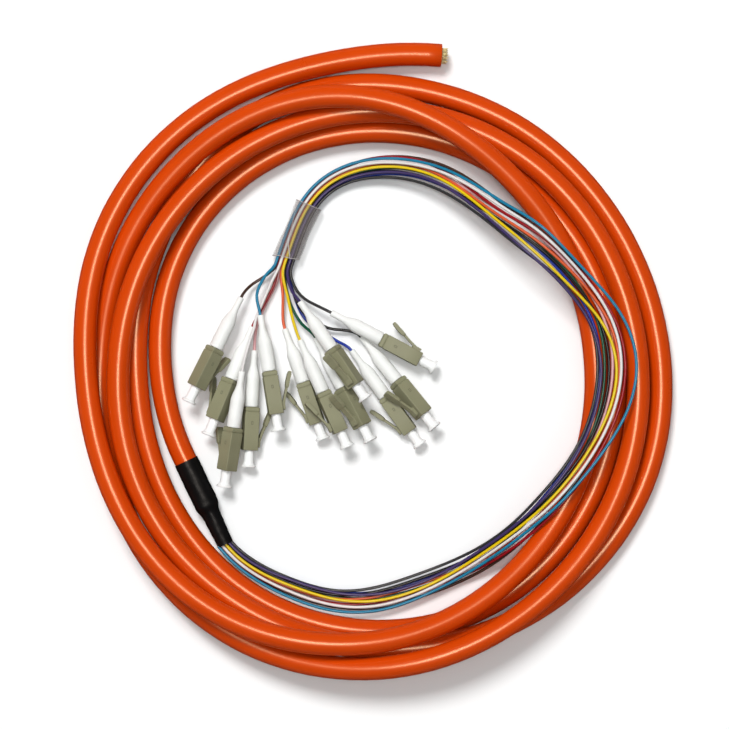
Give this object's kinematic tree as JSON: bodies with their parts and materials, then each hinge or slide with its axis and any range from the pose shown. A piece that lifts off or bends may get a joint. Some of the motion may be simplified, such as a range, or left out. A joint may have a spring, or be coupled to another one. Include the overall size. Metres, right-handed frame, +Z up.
{
  "type": "multi-fibre pigtail",
  "caption": "Coiled round cable with a heat-shrink transition to thin coloured fibres, each ending in a booted small-form plug with a dust cap.",
  "frame": {"origin": "centre of the coil's box on the surface that it lies on", "axes": "+Z up through the coil; +X to the picture's right and +Y to the picture's top"},
  "size_m": [0.1816, 0.1932, 0.0206],
  "materials": {
    "jacket": "glossy orange extruded jacket",
    "yarn": "cream strength yarn, cut and slightly frayed",
    "heat_shrink": "black shrunk sleeve, low sheen",
    "film": "clear creased plastic film, not real glass",
    "housing": "grey-olive moulded plastic",
    "white_plastic": "white moulded plastic",
    "fibre_brown": "brown fibre buffer",
    "fibre_red": "red fibre buffer",
    "fibre_white": "white fibre buffer",
    "fibre_rose": "rose fibre buffer",
    "fibre_aqua": "aqua fibre buffer",
    "fibre_orange": "orange fibre buffer",
    "fibre_yellow": "yellow fibre buffer",
    "fibre_green": "green fibre buffer",
    "fibre_violet": "violet fibre buffer",
    "fibre_blue": "blue fibre buffer",
    "fibre_black": "black fibre buffer",
    "fibre_slate": "slate fibre buffer"
  },
  "bodies": {
    "pigtail": {"jacket": "jacket", "aramid_yarn": "yarn", "heat_shrink_transition": "heat_shrink", "film_sleeve": "film", "fibre_brown": "fibre_brown", "boot_brown": "white_plastic", "plug_brown": "housing", "fibre_red": "fibre_red", "boot_red": "white_plastic", "plug_red": "housing", "fibre_white": "fibre_white", "boot_white": "white_plastic", "plug_white": "housing", "fibre_rose": "fibre_rose", "boot_rose": "white_plastic", "plug_rose": "housing", "fibre_aqua": "fibre_aqua", "boot_aqua": "white_plastic", "plug_aqua": "housing", "fibre_orange": "fibre_orange", "boot_orange": "white_plastic", "plug_orange": "housing", "fibre_yellow": "fibre_yellow", "boot_yellow": "white_plastic", "plug_yellow": "housing", "fibre_green": "fibre_green", "boot_green": "white_plastic", "plug_green": "housing", "fibre_violet": "fibre_violet", "boot_violet": "white_plastic", "plug_violet": "housing", "fibre_blue": "fibre_blue", "boot_blue": "white_plastic", "plug_blue": "housing", "fibre_black": "fibre_black", "boot_black": "white_plastic", "plug_black": "housing", "fibre_slate": "fibre_slate", "boot_slate": "white_plastic", "plug_slate": "housing"},
    "cap_brown": {"cap_brown": "white_plastic"},
    "cap_red": {"cap_red": "white_plastic"},
    "cap_white": {"cap_white": "white_plastic"},
    "cap_rose": {"cap_rose": "white_plastic"},
    "cap_aqua": {"cap_aqua": "white_plastic"},
    "cap_orange": {"cap_orange": "white_plastic"},
    "cap_yellow": {"cap_yellow": "white_plastic"},
    "cap_green": {"cap_green": "white_plastic"},
    "cap_violet": {"cap_violet": "white_plastic"},
    "cap_blue": {"cap_blue": "white_plastic"},
    "cap_black": {"cap_black": "white_plastic"},
    "cap_slate": {"cap_slate": "white_plastic"}
  },
  "joints": [
    {"name": "cap_brown_pull_off", "type": "slide", "parent": "pigtail", "child": "cap_brown", "axis": [-0.4456, -0.8937, 0.0523], "range_m": [0, 0.0032]},
    {"name": "cap_red_pull_off", "type": "slide", "parent": "pigtail", "child": "cap_red", "axis": [-0.3737, -0.9249, 0.0698], "range_m": [0, 0.0032]},
    {"name": "cap_white_pull_off", "type": "slide", "parent": "pigtail", "child": "cap_white", "axis": [-0.1562, -0.9863, -0.0523], "range_m": [0, 0.0032]},
    {"name": "cap_rose_pull_off", "type": "slide", "parent": "pigtail", "child": "cap_rose", "axis": [-0.0523, -0.9986, 0], "range_m": [0, 0.0032]},
    {"name": "cap_aqua_pull_off", "type": "slide", "parent": "pigtail", "child": "cap_aqua", "axis": [0.1564, -0.9875, 0.0175], "range_m": [0, 0.0032]},
    {"name": "cap_orange_pull_off", "type": "slide", "parent": "pigtail", "child": "cap_orange", "axis": [0.3256, -0.9455, 0], "range_m": [0, 0.0032]},
    {"name": "cap_yellow_pull_off", "type": "slide", "parent": "pigtail", "child": "cap_yellow", "axis": [0.4067, -0.9135, 0], "range_m": [0, 0.0032]},
    {"name": "cap_green_pull_off", "type": "slide", "parent": "pigtail", "child": "cap_green", "axis": [0.4683, -0.8808, 0.0698], "range_m": [0, 0.0032]},
    {"name": "cap_violet_pull_off", "type": "slide", "parent": "pigtail", "child": "cap_violet", "axis": [0.5589, -0.8285, 0.0349], "range_m": [0, 0.0032]},
    {"name": "cap_blue_pull_off", "type": "slide", "parent": "pigtail", "child": "cap_blue", "axis": [0.5878, -0.809, 0], "range_m": [0, 0.0032]},
    {"name": "cap_black_pull_off", "type": "slide", "parent": "pigtail", "child": "cap_black", "axis": [0.6269, -0.7742, 0.0872], "range_m": [0, 0.0032]},
    {"name": "cap_slate_pull_off", "type": "slide", "parent": "pigtail", "child": "cap_slate", "axis": [0.8824, -0.4692, -0.0349], "range_m": [0, 0.0032]}
  ]
}
